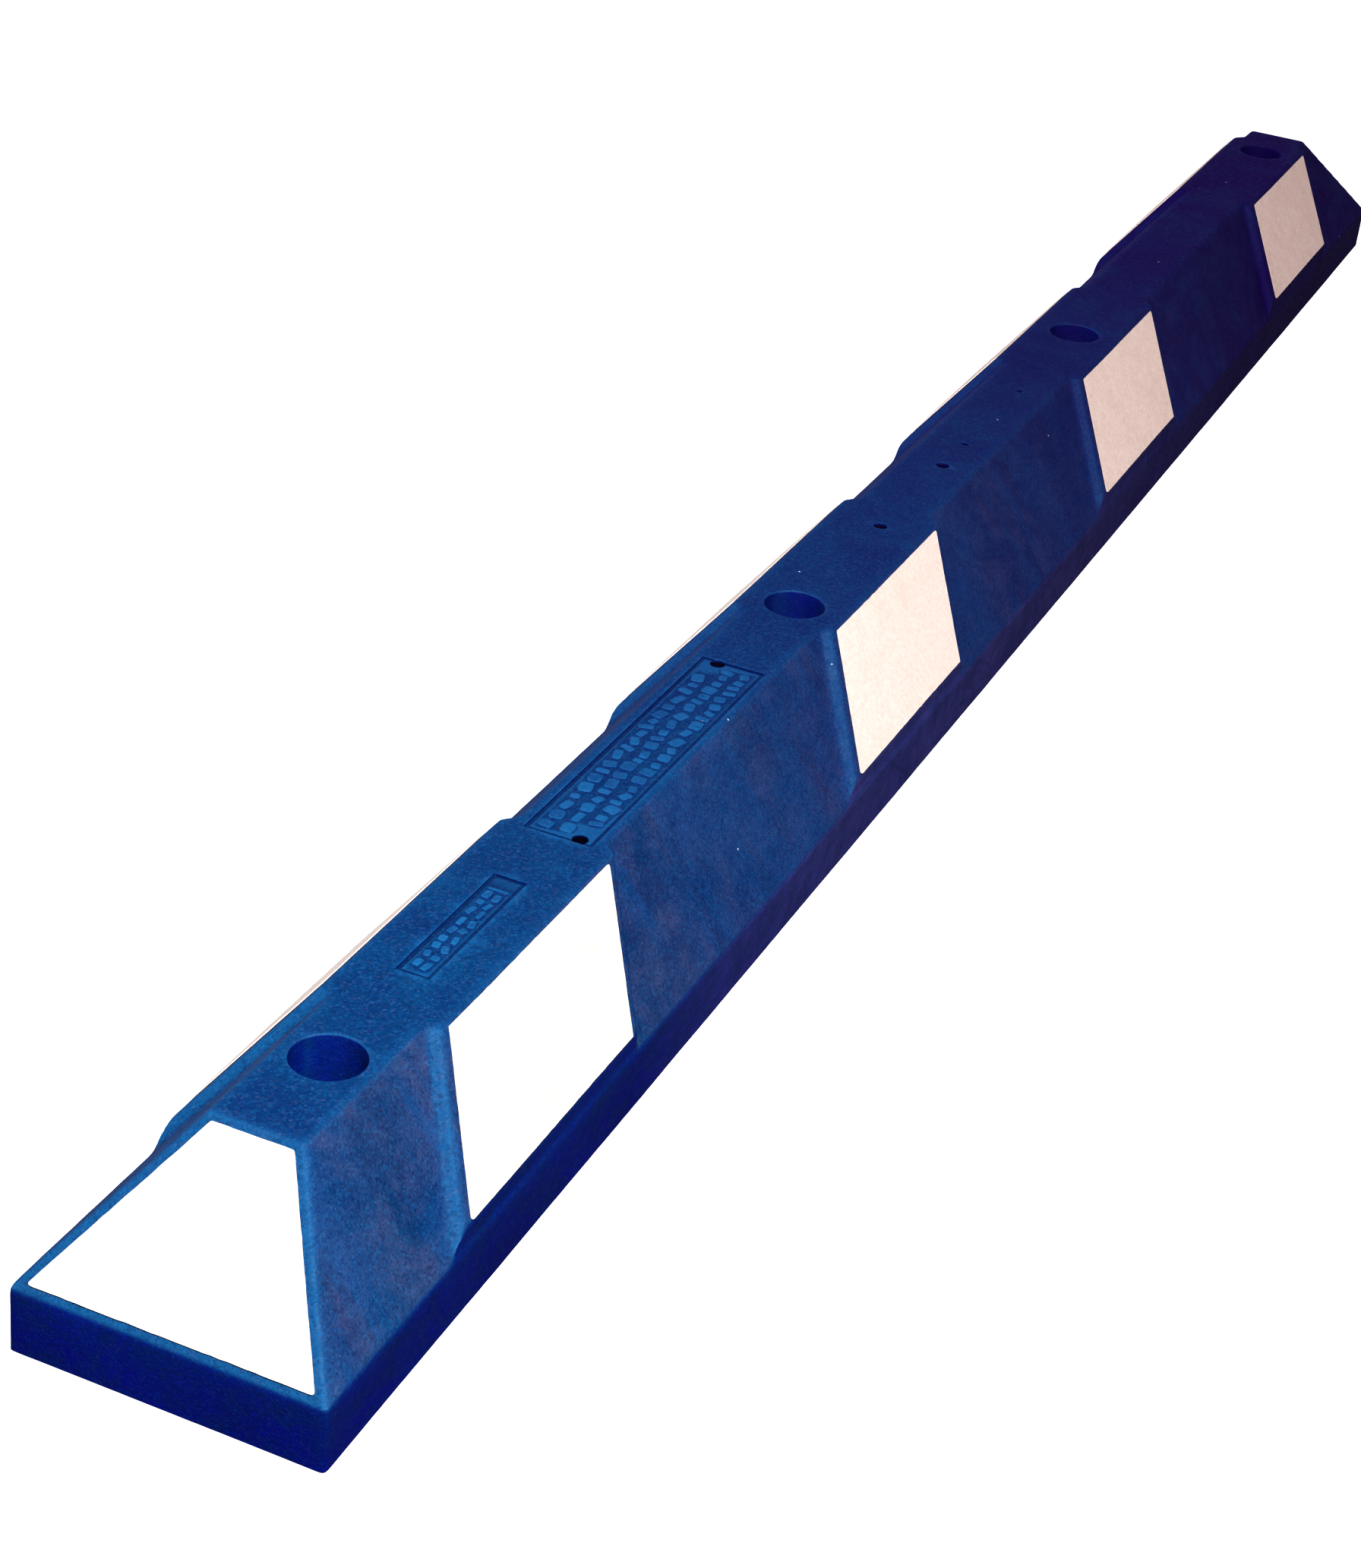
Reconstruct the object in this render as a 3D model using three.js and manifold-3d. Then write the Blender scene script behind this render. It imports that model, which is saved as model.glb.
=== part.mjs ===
// Rubber wheel stop, 1830 x 150 x 100 mm. Millimetres, +Z up.
// X runs along the bar, the front slope faces -Y, and the origin is the middle of the base.
import * as THREE from "three";
import { mergeVertices } from "three/addons/utils/BufferGeometryUtils.js";
import Module from "manifold-3d";

const wasm = await Module();
wasm.setup();

// Bar
const LENGTH = 1830;
const WIDTH = 150;
const HEIGHT = 100;
const SKIRT_HEIGHT = 32; // upright faces all round, below the slopes
const TOP_WIDTH = 45; // flat top between the pads
const END_RUN = 68; // how far the end slopes reach in along the bar

// Raised pads on the long slopes
const PAD_COUNT = 4;
const PAD_PITCH = 462;
const FIRST_PAD_X = PAD_PITCH / 2 - LENGTH / 2;
const PAD_RISE = 9.5; // how much higher a pad's lower edge lies than the skirt's
const PAD_SETBACK = 1.2; // ledge between the skirt's face and a pad's upright face
const PAD_HALF_LENGTH = 88.5;
const PAD_WALL_RUN = 4.5; // draft of a pad's end walls
const PAD_LEAN = 0.76; // shift towards -X for each millimetre down the slope
const PAD_ROOT = 10; // how near the middle plane a pad's solid begins, inside the bar

// Reflective sheets
const SHEET_GAP = 0.3;
const SHEET_THICKNESS = 0.7;
const SHEET_HALF_LENGTH = 82;
const SHEET_TOP_MARGIN = 2.2;
const SHEET_SLOPE_LENGTH = 69.2;
const END_SHEET_MARGIN = 5; // to the hips on both sides
const END_SHEET_BOTTOM = 4; // to the skirt's edge, down the end slope
const END_SHEET_TOP = 4; // to the flat top, up the end slope

// Anchor holes
const ANCHOR_X = [-789, -263, 263, 789];
const COUNTERBORE_RADIUS = 17.25;
const COUNTERBORE_DEPTH = 52;
const SHANK_RADIUS = 9;
const WASHER_RADIUS = 16.8;
const WASHER_THICKNESS = 3;
const WASHER_GAP = 0.3;

// Small blind holes in the flat top: place along the bar, place across it, radius
const SMALL_HOLES = [
  [-565.5, -11, 4.2],
  [-355.7, 7.5, 4.2],
  [-132, -2.5, 4.2],
  [-21, -2.5, 4.2],
  [21, -2.5, 2.6],
  [132, -2.5, 2.6],
];
const SMALL_HOLE_DEPTH = 28;

// Moulded frames in the flat top: middle along the bar, middle across it, length, width
const SMALL_FRAME = [-665.5, 0.5, 97, 17.5];
const LARGE_FRAME = [-461.5, -1, 217, 37];
const FRAME_GROOVE = 2.2;
const FRAME_DEPTH = 1;
const PANEL_DEPTH = 0.7;

// Hollows under the bar, between the solid blocks that hold the anchors
const BLOCK_HALF_LENGTH = 35;
const HOLLOWS_PER_BAY = 3;
const RIB = 18;
const HOLLOW_WIDTH = 90;
const HOLLOW_DEPTH = 46;
const HOLLOW_TAPER = 0.72; // size of a hollow's roof against its mouth

const OVERRUN = 5; // how far a cutting shape passes the face that it cuts

// Section geometry of the long slopes
const HALF_WIDTH = WIDTH / 2;
const HALF_TOP = TOP_WIDTH / 2;
const SLOPE_ANGLE = Math.atan2(HEIGHT - SKIRT_HEIGHT, HALF_WIDTH - HALF_TOP);
const SLOPE = Math.tan(SLOPE_ANGLE);
const PAD_EDGE_Z = SKIRT_HEIGHT + PAD_RISE;
const PAD_TOP_HALF = HALF_TOP + PAD_RISE / SLOPE;
const PAD_HEIGHT = PAD_RISE * Math.cos(SLOPE_ANGLE); // square to the slope
const PAD_SLOPE_LENGTH = (HEIGHT - PAD_EDGE_Z) / Math.sin(SLOPE_ANGLE);
const END_ANGLE = Math.atan2(HEIGHT - SKIRT_HEIGHT, END_RUN);

const rubber = { color: 0x1c4f8e, roughness: 0.85, metalness: 0 };
const sheeting = { color: 0xf4f2ec, roughness: 0.45, metalness: 0 };
const zinc = { color: 0xb8bcc0, roughness: 0.35, metalness: 1 };

// A closed geometry as a solid that can be joined and cut.
function solid(geometry) {
  const bare = geometry.clone();
  bare.deleteAttribute("normal");
  bare.deleteAttribute("uv");
  const merged = mergeVertices(bare, 1e-4);
  return new wasm.Manifold(
    new wasm.Mesh({
      numProp: 3,
      vertProperties: merged.attributes.position.array,
      triVerts: new Uint32Array(merged.index.array),
    }),
  );
}

// A solid as a named mesh with its own material.
function namedMesh(name, body, finish) {
  const { vertProperties, triVerts } = body.getMesh();
  const geometry = new THREE.BufferGeometry();
  geometry.setAttribute("position", new THREE.BufferAttribute(vertProperties, 3));
  geometry.setIndex(new THREE.BufferAttribute(triVerts, 1));
  geometry.computeVertexNormals();
  const mesh = new THREE.Mesh(geometry, new THREE.MeshStandardMaterial(finish));
  mesh.name = name;
  return mesh;
}

function outline(points) {
  return new THREE.Shape(points.map(([x, y]) => new THREE.Vector2(x, y)));
}

// An outline drawn in the plane of two axes, pushed along the third and centred on the origin.
function prism(points, depth, xAxis, yAxis, zAxis) {
  const geometry = new THREE.ExtrudeGeometry(outline(points), { depth, bevelEnabled: false });
  geometry.translate(0, 0, -depth / 2);
  geometry.applyMatrix4(new THREE.Matrix4().makeBasis(xAxis, yAxis, zAxis));
  return geometry;
}

const X = new THREE.Vector3(1, 0, 0);
const Y = new THREE.Vector3(0, 1, 0);
const Z = new THREE.Vector3(0, 0, 1);
const MINUS_Y = new THREE.Vector3(0, -1, 0);

// An outline in Y and Z, pushed along X.
function alongBar(points, length) {
  return solid(prism(points, length, Y, Z, X));
}

// An outline in X and Z, pushed along Y.
function acrossBar(points, width) {
  return solid(prism(points, width, X, Z, MINUS_Y));
}

function uprightCylinder(x, y, radius, bottom, top, segments) {
  const geometry = new THREE.CylinderGeometry(radius, radius, top - bottom, segments);
  geometry.rotateX(Math.PI / 2);
  geometry.translate(x, y, (top + bottom) / 2);
  return solid(geometry);
}

function block(x, y, length, width, bottom, top) {
  const geometry = new THREE.BoxGeometry(length, width, top - bottom);
  geometry.translate(x, y, (top + bottom) / 2);
  return solid(geometry);
}

// The bar without its pads: a long section cut to length by the two end slopes.
function hippedBar() {
  const section = [
    [-HALF_WIDTH, 0],
    [HALF_WIDTH, 0],
    [HALF_WIDTH, SKIRT_HEIGHT],
    [HALF_TOP, HEIGHT],
    [-HALF_TOP, HEIGHT],
    [-HALF_WIDTH, SKIRT_HEIGHT],
  ];
  const end = LENGTH / 2;
  const profile = [
    [-end, -OVERRUN],
    [end, -OVERRUN],
    [end, SKIRT_HEIGHT],
    [end - END_RUN, HEIGHT],
    [end - END_RUN, HEIGHT + OVERRUN],
    [-end + END_RUN, HEIGHT + OVERRUN],
    [-end + END_RUN, HEIGHT],
    [-end, SKIRT_HEIGHT],
  ];
  return alongBar(section, LENGTH).intersect(acrossBar(profile, WIDTH + 2 * OVERRUN));
}

// Frame of a long slope at pad level: x along the bar, y down the slope from its top edge,
// z out of the slope. side is -1 for the front and 1 for the back. The lean is part of it.
function slopeFrame(side, centreX) {
  const down = new THREE.Vector3(0, side * Math.cos(SLOPE_ANGLE), -Math.sin(SLOPE_ANGLE));
  const out = new THREE.Vector3(0, side * Math.sin(SLOPE_ANGLE), Math.cos(SLOPE_ANGLE));
  const leaning = down.clone().addScaledVector(X, -PAD_LEAN);
  const matrix = new THREE.Matrix4().makeBasis(X, leaning, out);
  const start = centreX + (PAD_LEAN * PAD_SLOPE_LENGTH) / 2;
  matrix.setPosition(start, side * PAD_TOP_HALF, HEIGHT);
  return matrix;
}

// A geometry drawn in a slope's frame, turned right way out where that frame mirrors it.
function placed(geometry, matrix) {
  const flat = geometry.index ? geometry.toNonIndexed() : geometry.clone();
  flat.applyMatrix4(matrix);
  if (matrix.determinant() < 0) {
    const p = flat.attributes.position;
    const corner = new THREE.Vector3();
    const other = new THREE.Vector3();
    for (let i = 0; i < p.count; i += 3) {
      corner.fromBufferAttribute(p, i + 1);
      other.fromBufferAttribute(p, i + 2);
      p.setXYZ(i + 1, other.x, other.y, other.z);
      p.setXYZ(i + 2, corner.x, corner.y, corner.z);
    }
  }
  return solid(flat);
}

// The leaning, drafted block of space that one pad's end walls enclose.
function padSlab(side, centreX) {
  const draft = PAD_WALL_RUN / PAD_HEIGHT;
  const above = 20;
  const below = 60;
  const wide = PAD_HALF_LENGTH + draft * below;
  const narrow = PAD_HALF_LENGTH - draft * above;
  const trapezoid = [
    [-wide, -below],
    [wide, -below],
    [narrow, above],
    [-narrow, above],
  ];
  return placed(prism(trapezoid, 4 * HEIGHT, X, Z, MINUS_Y), slopeFrame(side, centreX));
}

// All raised pads of one side: the pad-level section of the bar, kept only between the end walls.
function pads(side) {
  const face = side * (HALF_WIDTH - PAD_SETBACK);
  const inside = side * PAD_ROOT;
  const section = [
    [inside, SKIRT_HEIGHT - OVERRUN],
    [face, SKIRT_HEIGHT - OVERRUN],
    [face, PAD_EDGE_Z + PAD_SETBACK * SLOPE],
    [side * PAD_TOP_HALF, HEIGHT],
    [inside, HEIGHT],
  ];
  const slabs = padCentres().map((x) => padSlab(side, x));
  const space = slabs.reduce((all, slab) => all.add(slab));
  return alongBar(section, LENGTH).intersect(space);
}

// A thin sheet on a pad, a leaning parallelogram lying just clear of the rubber.
function padSheet(side, centreX) {
  const geometry = new THREE.BoxGeometry(2 * SHEET_HALF_LENGTH, SHEET_SLOPE_LENGTH, SHEET_THICKNESS);
  const middle = SHEET_TOP_MARGIN + SHEET_SLOPE_LENGTH / 2;
  geometry.translate(0, middle, SHEET_GAP + SHEET_THICKNESS / 2);
  return placed(geometry, slopeFrame(side, centreX));
}

// The trapezoid sheet on an end slope. end is -1 or 1.
function endSheet(end) {
  const slopeLength = END_RUN / Math.cos(END_ANGLE);
  const low = END_SHEET_BOTTOM;
  const high = slopeLength - END_SHEET_TOP;
  const halfAt = (up) => HALF_WIDTH + ((HALF_TOP - HALF_WIDTH) * up) / slopeLength - END_SHEET_MARGIN;
  const points = [
    [-halfAt(low), low],
    [halfAt(low), low],
    [halfAt(high), high],
    [-halfAt(high), high],
  ];
  const geometry = new THREE.ExtrudeGeometry(outline(points), {
    depth: SHEET_THICKNESS,
    bevelEnabled: false,
  });
  geometry.translate(0, 0, SHEET_GAP);
  const up = new THREE.Vector3(-end * Math.cos(END_ANGLE), 0, Math.sin(END_ANGLE));
  const out = new THREE.Vector3(end * Math.sin(END_ANGLE), 0, Math.cos(END_ANGLE));
  const matrix = new THREE.Matrix4().makeBasis(up.clone().cross(out), up, out);
  matrix.setPosition((end * LENGTH) / 2, 0, SKIRT_HEIGHT);
  return placed(geometry, matrix);
}

function anchorHole(x) {
  const floor = HEIGHT - COUNTERBORE_DEPTH;
  const counterbore = uprightCylinder(x, 0, COUNTERBORE_RADIUS, floor, HEIGHT + OVERRUN, 48);
  const shank = uprightCylinder(x, 0, SHANK_RADIUS, -OVERRUN, HEIGHT, 32);
  return counterbore.add(shank);
}

function washer(x) {
  const bottom = HEIGHT - COUNTERBORE_DEPTH + WASHER_GAP;
  const profile = [
    [SHANK_RADIUS, bottom],
    [WASHER_RADIUS, bottom],
    [WASHER_RADIUS, bottom + WASHER_THICKNESS],
    [SHANK_RADIUS, bottom + WASHER_THICKNESS],
    [SHANK_RADIUS, bottom],
  ];
  const geometry = new THREE.LatheGeometry(
    profile.map(([r, z]) => new THREE.Vector2(r, z)),
    48,
  );
  geometry.rotateX(Math.PI / 2);
  geometry.translate(x, 0, 0);
  return solid(geometry);
}

// A groove round a rectangle in the flat top.
function frameGroove([x, y, length, width]) {
  const floor = HEIGHT - FRAME_DEPTH;
  const inner = 2 * FRAME_GROOVE;
  const whole = block(x, y, length, width, floor, HEIGHT + OVERRUN);
  const island = block(x, y, length - inner, width - inner, floor - OVERRUN, HEIGHT + 2 * OVERRUN);
  return whole.subtract(island);
}

// A shallow sunk panel inside a frame.
function framePanel([x, y, length, width]) {
  const inner = FRAME_GROOVE;
  return block(x, y, length - inner, width - inner, HEIGHT - PANEL_DEPTH, HEIGHT + OVERRUN);
}

// A tapered hollow that opens at the base.
function hollow(x, length) {
  const half = Math.SQRT1_2;
  const depth = HOLLOW_DEPTH + OVERRUN;
  const mouth = 1 + ((1 - HOLLOW_TAPER) * OVERRUN) / HOLLOW_DEPTH;
  const geometry = new THREE.CylinderGeometry(half * HOLLOW_TAPER, half * mouth, depth, 4);
  geometry.rotateY(Math.PI / 4);
  geometry.rotateX(Math.PI / 2);
  geometry.scale(length, HOLLOW_WIDTH, 1);
  geometry.translate(x, 0, depth / 2 - OVERRUN);
  return solid(geometry);
}

function hollows() {
  const bayLength = ANCHOR_X[1] - ANCHOR_X[0] - 2 * BLOCK_HALF_LENGTH;
  const length = (bayLength - (HOLLOWS_PER_BAY - 1) * RIB) / HOLLOWS_PER_BAY;
  const made = [];
  for (const anchor of ANCHOR_X.slice(0, -1)) {
    for (let i = 0; i < HOLLOWS_PER_BAY; i += 1) {
      const start = anchor + BLOCK_HALF_LENGTH + i * (length + RIB);
      made.push(hollow(start + length / 2, length));
    }
  }
  return made;
}

function padCentres() {
  return Array.from({ length: PAD_COUNT }, (_, i) => FIRST_PAD_X + i * PAD_PITCH);
}

function rubberBody() {
  let body = hippedBar();
  for (const side of [-1, 1]) body = body.add(pads(side));
  for (const x of ANCHOR_X) body = body.subtract(anchorHole(x));
  for (const [x, y, radius] of SMALL_HOLES) {
    const floor = HEIGHT - SMALL_HOLE_DEPTH;
    body = body.subtract(uprightCylinder(x, y, radius, floor, HEIGHT + OVERRUN, 20));
  }
  for (const frame of [SMALL_FRAME, LARGE_FRAME]) {
    body = body.subtract(frameGroove(frame));
    body = body.subtract(framePanel(frame));
  }
  for (const cut of hollows()) body = body.subtract(cut);
  return body;
}

const wheelStop = new THREE.Group();
wheelStop.add(namedMesh("rubber_body", rubberBody(), rubber));
padCentres().forEach((x, i) => {
  wheelStop.add(namedMesh(`reflector_front_${i + 1}`, padSheet(-1, x), sheeting));
  wheelStop.add(namedMesh(`reflector_back_${i + 1}`, padSheet(1, x), sheeting));
});
wheelStop.add(namedMesh("reflector_end_near", endSheet(-1), sheeting));
wheelStop.add(namedMesh("reflector_end_far", endSheet(1), sheeting));
ANCHOR_X.forEach((x, i) => {
  wheelStop.add(namedMesh(`anchor_washer_${i + 1}`, washer(x), zinc));
});

export default wheelStop;
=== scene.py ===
import math

import bmesh
import bpy
import numpy as np
from mathutils import Matrix, Vector
from mathutils.geometry import delaunay_2d_cdt


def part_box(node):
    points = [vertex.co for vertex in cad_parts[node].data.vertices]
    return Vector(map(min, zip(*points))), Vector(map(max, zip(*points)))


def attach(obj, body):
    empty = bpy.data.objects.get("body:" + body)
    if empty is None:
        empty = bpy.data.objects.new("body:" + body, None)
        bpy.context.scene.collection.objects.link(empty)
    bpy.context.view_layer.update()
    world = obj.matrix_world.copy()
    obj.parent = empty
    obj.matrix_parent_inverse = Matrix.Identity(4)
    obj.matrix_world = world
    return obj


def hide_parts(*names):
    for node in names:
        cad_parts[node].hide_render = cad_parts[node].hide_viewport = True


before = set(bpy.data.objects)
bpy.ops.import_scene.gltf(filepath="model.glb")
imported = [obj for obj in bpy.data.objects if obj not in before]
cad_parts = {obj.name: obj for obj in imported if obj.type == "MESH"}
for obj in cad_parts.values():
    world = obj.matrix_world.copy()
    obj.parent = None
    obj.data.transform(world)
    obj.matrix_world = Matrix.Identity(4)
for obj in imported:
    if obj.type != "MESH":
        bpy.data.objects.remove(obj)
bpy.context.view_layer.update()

MM = 0.001

# The bar, in millimetres, as in the CAD
LENGTH = 1830
WIDTH = 150
HEIGHT = 100
SKIRT_HEIGHT = 32
TOP_WIDTH = 45
END_RUN = 68
PAD_COUNT = 4
PAD_PITCH = 462
PAD_RISE = 9.5
PAD_SETBACK = 1.2
PAD_HALF_LENGTH = 88.5
PAD_WALL_RUN = 4.5
PAD_LEAN = 0.76
PAD_ROOT = 10
PAD_FOOT = 5  # how far a pad's solid reaches below the skirt's upper edge
ANCHOR_X = (-789, -263, 263, 789)
COUNTERBORE_RADIUS = 17.25
COUNTERBORE_DEPTH = 52
SHANK_RADIUS = 9
SMALL_HOLES = (
    (-565.5, -11, 4.2),
    (-355.7, 7.5, 4.2),
    (-132, -2.5, 4.2),
    (-21, -2.5, 4.2),
    (21, -2.5, 2.6),
    (132, -2.5, 2.6),
)
SMALL_HOLE_DEPTH = 28
SMALL_FRAME = (-665.5, 0.5, 97, 17.5)
LARGE_FRAME = (-461.5, -1, 217, 37)
FRAME_GROOVE = 2.2
FRAME_DEPTH = 1.0
PANEL_DEPTH = 0.7
BLOCK_HALF_LENGTH = 35
HOLLOWS_PER_BAY = 3
RIB = 18
HOLLOW_WIDTH = 90
HOLLOW_DEPTH = 46
HOLLOW_TAPER = 0.72

# How the visual body is made
VOXEL = 1.8
SMOOTHING_PASSES = 4
KEPT_SHARE = 0.36  # of the faces, after the flats are thinned out
UNDER = 12  # the rough body reaches this far below the ground and is then cut flat
LIP = 1.4  # rounding of the anchor holes' mouths
SMALL_LIP = 0.7
WASHER_BORE = 2 * SHANK_RADIUS
ROLLED_EDGE = 0.7
SHARP_EDGE = 0.15
WASHER_SEGMENTS = 64
EDGE_STEPS = 4  # in each rounded edge of a washer
SEED = 7
BODY_SHARP = 32  # degrees between faces from which an edge is shaded sharp
PIECE_SHARP = 40

# Unevenness of the moulded skin: the size of its features and how deep they go
SWELL_SIZE = 38
SWELL_DEPTH = 0.16
GRAIN_SIZE = 5.5
GRAIN_DEPTH = 0.12

# The cutters
LIP_STEPS = 5
LIP_FLARE = 0.4  # how much wider than its lip a hole's cutter is above the flat top
LIP_OVERRUN = 4
PANEL_OVERRUN = 3
GROOVE_OVERRUN = 2
ISLAND_OVERRUN = 5
FLOOR_CHAMFER = 0.6
SHANK_CHAMFER = 0.5
SMALL_HOLE_FLOOR = ((1, 1.2), (0.7, 0.3), (0.2, 0))  # share of the radius, height above the bottom
ANCHOR_SEGMENTS = 72
SMALL_SEGMENTS = 28

# The generic blocks that stand in the moulded frames
BLOCK_POINTS = 16
BLOCK_ROUNDNESS = 0.45  # power of the outline: 1 is an ellipse, 0 a rectangle
BLOCK_SECTION = ((0, 0.45), (-0.25, 0.1), (0, -0.25))  # height from its foot or top, growth of the outline
BLOCK_FOOT = HEIGHT - PANEL_DEPTH - 1
BLOCK_WIDTHS = (0.42, 0.78)  # as shares of a row
BLOCK_TURN = 25
BLOCK_SHIFT = 0.1  # off the middle of its row, as a share of the row
BLOCK_WEAR = (0.06, 0.3)  # how far its top lies below the flat top
BLOCK_GAPS = (1.4, 3.8)
BLOCK_MARGIN = 3  # from the groove to the first block
ROW_MARGIN = 1
HOLE_CLEARANCE = 7
CELL_BAR = 12.5  # from the small frame's end to the bar that closes off a cell
CELL_BAR_WIDTH = 2.0
CELL_BAR_WEAR = 0.1

# The sheets of film
FILM_CORNER = 1.4
FILM_DROP = 0.32  # how far the film lies below the outer face of the CAD sheet
FILM_THICKNESS = 0.5
CORNER_STEPS = 6
EDGE_STEP = 1.6
RAGGED = 0.55  # how far a cut edge wanders inwards
GRID_STEP = 5.0
GRID_JITTER = 0.6
GRID_SHARE = 0.965  # the inner points stay inside the outline at this scale
WAVE_SIZE = 24
WAVE_DEPTH = 0.09
DIMPLE_SIZE = 8
DIMPLE_DEPTH = 0.05
FIRST_SHEET_SEED = 11

HALF_WIDTH = WIDTH / 2
HALF_TOP = TOP_WIDTH / 2
SLOPE_ANGLE = math.atan2(HEIGHT - SKIRT_HEIGHT, HALF_WIDTH - HALF_TOP)
SLOPE = math.tan(SLOPE_ANGLE)
PAD_EDGE_Z = SKIRT_HEIGHT + PAD_RISE
PAD_TOP_HALF = HALF_TOP + PAD_RISE / SLOPE
PAD_HEIGHT = PAD_RISE * math.cos(SLOPE_ANGLE)
PAD_SLOPE_LENGTH = (HEIGHT - PAD_EDGE_Z) / math.sin(SLOPE_ANGLE)
PAD_X = [PAD_PITCH / 2 - LENGTH / 2 + i * PAD_PITCH for i in range(PAD_COUNT)]

# Camera
CAMERA_PLACE = (-1.72892, -0.5063, 0.84016)
CAMERA_AZIMUTH = math.radians(21.015)
CAMERA_FALL = math.radians(29.133)
CAMERA_ROLL = math.radians(6.265)
IMAGE_HEIGHT = 2065
FOCAL_LENGTH = 3998.1  # in the image height's units
SENSOR = 36

# Light
KEY_PLACE = (-1.6, -0.7, 2.2)
KEY_TARGET = (-0.75, 0.0, 0.05)
KEY_SIZE = 0.8
KEY_POWER = 100
KEY_COLOR = (1.0, 0.9, 0.88)
BACK_PLACE = (0.5, 2.4, 0.62)
BACK_TARGET = (0.1, 0.0, 0.05)
BACK_SIZE = 1.8
BACK_POWER = 40
BACK_COLOR = (0.96, 0.98, 1.0)
END_PLACE = (2.7, 0.25, 0.5)
END_TARGET = (0.87, 0.0, 0.06)
END_SIZE = 1.0
END_POWER = 15
FILL = 0.2
FILL_COLOR = (1, 0.84, 0.9, 1)
BACKDROP = 0.95
LOOK = "High Contrast"
FLOOR_SIZE = 60
FLOOR_DROP = 0.0004
WHITE = (1, 1, 1, 1)

scene = bpy.context.scene
rng = np.random.default_rng(SEED)


# ---------- meshes ----------

def new_object(name, mesh):
    obj = bpy.data.objects.new(name, mesh)
    scene.collection.objects.link(obj)
    return obj


def mesh_from(name, verts, faces):
    """A mesh from points in millimetres."""
    mesh = bpy.data.meshes.new(name)
    mesh.from_pydata([tuple(c * MM for c in v) for v in verts], [], faces)
    mesh.update()
    return mesh


def solid(name, shape):
    """An object from the points and faces of a closed shape."""
    return new_object(name, mesh_from(name, *shape))


def hull(points):
    """Points and faces of the convex hull of some points, in millimetres."""
    bm = bmesh.new()
    for p in points:
        bm.verts.new(p)
    made = bmesh.ops.convex_hull(bm, input=bm.verts)
    loose = [g for g in made["geom_interior"] if isinstance(g, bmesh.types.BMVert)]
    bmesh.ops.delete(bm, geom=loose, context="VERTS")
    bmesh.ops.recalc_face_normals(bm, faces=bm.faces)
    bm.verts.index_update()
    verts = [tuple(v.co) for v in bm.verts]
    faces = [tuple(v.index for v in f.verts) for f in bm.faces]
    bm.free()
    return verts, faces


def joined(parts):
    """Several (points, faces) as one."""
    verts, faces = [], []
    for v, f in parts:
        start = len(verts)
        verts += v
        faces += [tuple(i + start for i in face) for face in f]
    return verts, faces


def applied(obj):
    """Replaces the object's mesh by the result of its modifiers."""
    bpy.context.view_layer.update()
    graph = bpy.context.evaluated_depsgraph_get()
    mesh = bpy.data.meshes.new_from_object(obj.evaluated_get(graph))
    obj.modifiers.clear()
    old = obj.data
    obj.data = mesh
    bpy.data.meshes.remove(old)
    return obj


def cut(obj, cutter):
    """Takes the cutter away from the object, and removes the cutter."""
    change = obj.modifiers.new("cut", "BOOLEAN")
    change.operation = "DIFFERENCE"
    change.solver = "MANIFOLD"
    change.object = cutter
    applied(obj)
    bpy.data.objects.remove(cutter)
    return obj


def bar_hull():
    end, top = LENGTH / 2, LENGTH / 2 - END_RUN
    points = []
    for sx in (-1, 1):
        for sy in (-1, 1):
            points.append((sx * end, sy * HALF_WIDTH, -UNDER))
            points.append((sx * end, sy * HALF_WIDTH, SKIRT_HEIGHT))
            points.append((sx * top, sy * HALF_TOP, HEIGHT))
    return hull(points)


def pad_hull(side, centre):
    """One raised pad: its section at both of its leaning, drafted ends."""
    face = HALF_WIDTH - PAD_SETBACK
    section = [
        (PAD_ROOT, SKIRT_HEIGHT - PAD_FOOT),
        (face, SKIRT_HEIGHT - PAD_FOOT),
        (face, PAD_EDGE_Z + PAD_SETBACK * SLOPE),
        (PAD_TOP_HALF, HEIGHT),
        (PAD_ROOT, HEIGHT),
    ]
    start = centre + PAD_LEAN * PAD_SLOPE_LENGTH / 2
    draft = PAD_WALL_RUN / PAD_HEIGHT
    points = []
    for y, z in section:
        across, up = y - PAD_TOP_HALF, z - HEIGHT
        down = across * math.cos(SLOPE_ANGLE) - up * math.sin(SLOPE_ANGLE)
        out = across * math.sin(SLOPE_ANGLE) + up * math.cos(SLOPE_ANGLE)
        half = PAD_HALF_LENGTH - draft * out
        for sx in (-1, 1):
            points.append((start - PAD_LEAN * down + sx * half, side * y, z))
    return hull(points)


def lathe(x, y, profile, segments):
    """A closed solid turned round an upright axis; the profile runs from the top to the bottom."""
    verts, faces = [], []
    for r, z in profile:
        for i in range(segments):
            a = 2 * math.pi * i / segments
            verts.append((x + r * math.cos(a), y + r * math.sin(a), z))
    rings = len(profile)
    for k in range(rings - 1):
        for i in range(segments):
            j = (i + 1) % segments
            upper, lower = k * segments, (k + 1) * segments
            faces.append((upper + i, lower + i, lower + j, upper + j))
    faces.append(tuple(range(segments)))
    faces.append(tuple(reversed(range((rings - 1) * segments, rings * segments))))
    return verts, faces


def lip_profile(radius, lip):
    """The rounded mouth of a hole in the flat top, from above it down to its straight wall."""
    flare = radius + lip + LIP_FLARE
    points = [(flare, HEIGHT + LIP_OVERRUN), (flare, HEIGHT + 0.01)]
    for i in range(LIP_STEPS + 1):
        a = math.pi / 2 * i / LIP_STEPS
        points.append((radius + lip * (1 - math.sin(a)), HEIGHT - lip * (1 - math.cos(a))))
    return points


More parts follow.
